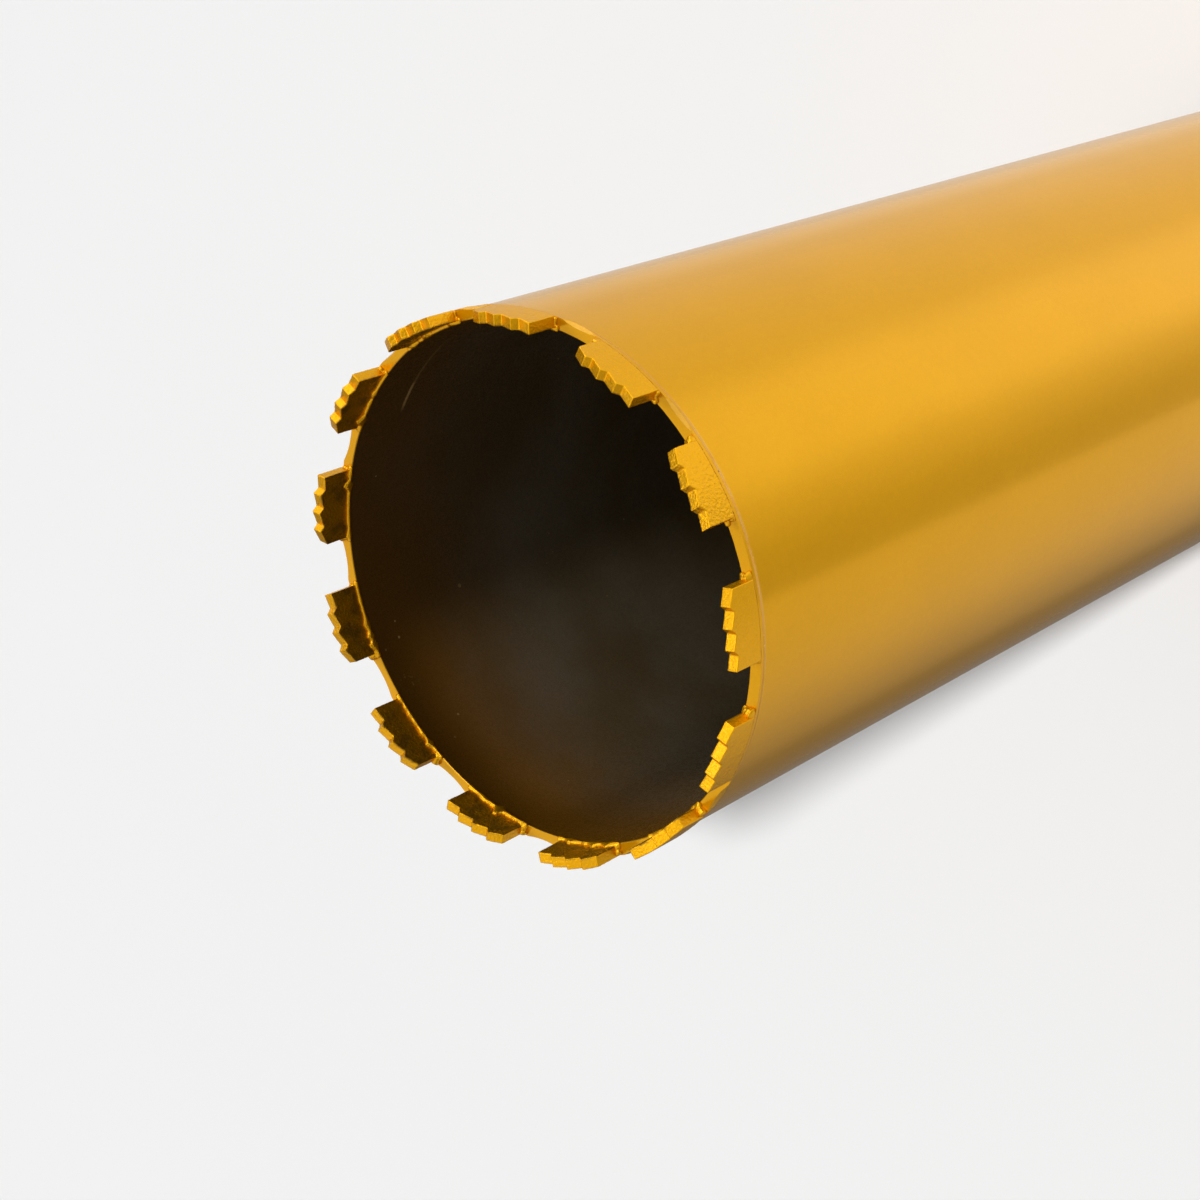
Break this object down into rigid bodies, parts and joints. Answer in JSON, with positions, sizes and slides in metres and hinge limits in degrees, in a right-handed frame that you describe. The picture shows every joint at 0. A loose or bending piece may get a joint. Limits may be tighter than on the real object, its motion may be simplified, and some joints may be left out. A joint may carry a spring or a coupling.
{
  "type": "diamond core bit",
  "caption": "Wet diamond core bit for concrete: a long thin-walled steel tube painted gold, with saw-toothed diamond segments around its mouth and a threaded hub at its back.",
  "frame": {"origin": "middle of the hub's end face, on the bit's axis", "axes": "+Z along the bit's axis, from the hub to the cutting crown; +X through the middle of the first segment"},
  "size_m": [0.1718, 0.172, 0.5221],
  "materials": {
    "tube_paint": "satin",
    "plate_paint": "satin",
    "hub_paint": "satin",
    "weld_paint": "satin",
    "segment_paint": "grainy",
    "solder_paint": "satin"
  },
  "bodies": {
    "root": {"barrel_tube": "tube_paint", "end_plate": "plate_paint", "threaded_hub": "hub_paint", "hub_weld": "weld_paint", "plate_weld": "weld_paint", "diamond_segment_01": "segment_paint", "diamond_segment_02": "segment_paint", "diamond_segment_03": "segment_paint", "diamond_segment_04": "segment_paint", "diamond_segment_05": "segment_paint", "diamond_segment_06": "segment_paint", "diamond_segment_07": "segment_paint", "diamond_segment_08": "segment_paint", "diamond_segment_09": "segment_paint", "diamond_segment_10": "segment_paint", "diamond_segment_11": "segment_paint", "diamond_segment_12": "segment_paint", "diamond_segment_13": "segment_paint", "solder_joint_01": "solder_paint", "solder_joint_02": "solder_paint", "solder_joint_03": "solder_paint", "solder_joint_04": "solder_paint", "solder_joint_05": "solder_paint", "solder_joint_06": "solder_paint", "solder_joint_07": "solder_paint", "solder_joint_08": "solder_paint", "solder_joint_09": "solder_paint", "solder_joint_10": "solder_paint", "solder_joint_11": "solder_paint", "solder_joint_12": "solder_paint", "solder_joint_13": "solder_paint"}
  },
  "joints": []
}
